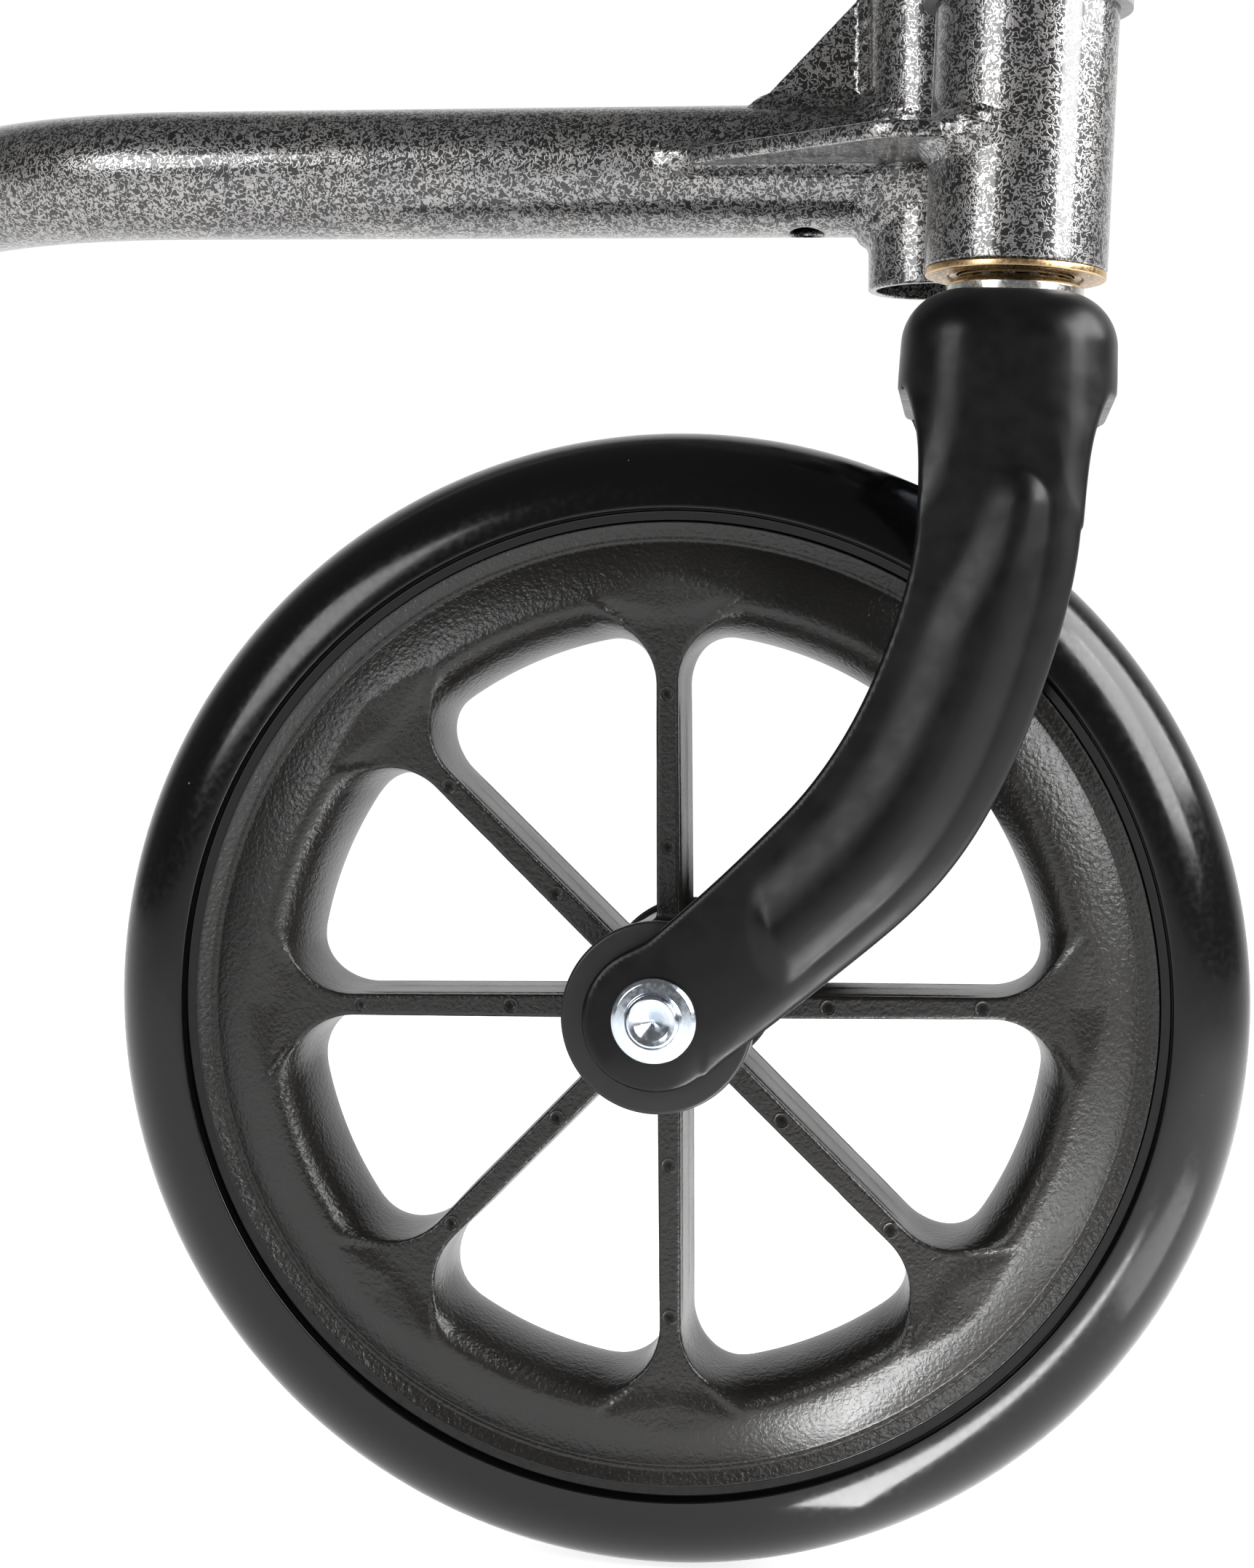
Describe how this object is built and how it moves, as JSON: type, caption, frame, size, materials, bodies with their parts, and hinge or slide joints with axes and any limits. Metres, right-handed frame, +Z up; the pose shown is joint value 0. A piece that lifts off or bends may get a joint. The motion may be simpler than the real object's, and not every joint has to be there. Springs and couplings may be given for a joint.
{
  "type": "swivel castor wheel with frame corner",
  "caption": "Large spoked swivel castor in a curved pressed fork, hanging from a barrel welded to the lower corner of a round tube frame.",
  "frame": {"origin": "on the swivel axis, level with the flange of the lower bearing cup, under the castor barrel", "axes": "+X forwards, +Y inboard towards the trolley's middle, +Z up along the swivel axis; the wheel trails towards -X"},
  "size_m": [0.2714, 0.113, 0.3348],
  "materials": {
    "vein_coat": "glossy silver powder coat with fine black veins",
    "cup_zinc": "yellow plated steel",
    "cap_grey": "smooth mid grey",
    "fork_paint": "satin black paint",
    "zinc": "bright zinc plate",
    "bearing_steel": "ground steel",
    "cage_brass": "pressed brass",
    "wheel_plastic": "moulded black with a fine leather grain",
    "disc_plastic": "moulded black",
    "tyre_rubber": "glossy black"
  },
  "bodies": {
    "frame": {"lower_rail": "vein_coat", "front_upright": "vein_coat", "corner_gusset": "vein_coat", "bracket_plate": "vein_coat", "castor_barrel": "vein_coat", "rail_weld": "vein_coat", "gusset_welds": "vein_coat", "barrel_welds": "vein_coat", "lower_bearing_cup": "cup_zinc", "upper_bearing_cup": "cup_zinc", "dust_cap": "cap_grey"},
    "head_ball_set": {"head_bearing_balls": "bearing_steel"},
    "fork": {"fork_shell": "fork_paint", "stem_bolt": "zinc", "lower_bearing_cone": "zinc", "upper_bearing_cone": "zinc", "stem_washer": "zinc", "stem_lock_nut": "zinc", "axle_bolt": "zinc", "axle_washer": "zinc", "axle_nut": "zinc", "leg_spacers": "zinc", "inner_races": "bearing_steel", "race_spacer_tube": "zinc"},
    "wheel_ball_set": {"wheel_bearing_balls": "bearing_steel", "wheel_ball_cages": "cage_brass"},
    "wheel": {"wheel_centre": "wheel_plastic", "tyre": "tyre_rubber", "hub_discs": "disc_plastic", "outer_races": "bearing_steel", "bearing_shields": "bearing_steel"}
  },
  "joints": [
    {"name": "swivel", "type": "hinge", "parent": "frame", "child": "fork", "pos_m": [0, 0, 0], "axis": [0, 0, 1], "continuous": true},
    {"name": "head_balls", "type": "hinge", "parent": "frame", "child": "head_ball_set", "pos_m": [0, 0, 0], "axis": [0, 0, 1], "continuous": true},
    {"name": "wheel_spin", "type": "hinge", "parent": "fork", "child": "wheel", "pos_m": [-0.0536, 0, -0.1286], "axis": [0, 1, 0], "continuous": true},
    {"name": "wheel_balls", "type": "hinge", "parent": "fork", "child": "wheel_ball_set", "pos_m": [-0.0536, 0, -0.1286], "axis": [0, 1, 0], "continuous": true}
  ],
  "couplings": [
    {"joint": "head_balls", "follows": "swivel", "ratio": 0.5},
    {"joint": "wheel_balls", "follows": "wheel_spin", "ratio": 0.6323}
  ]
}
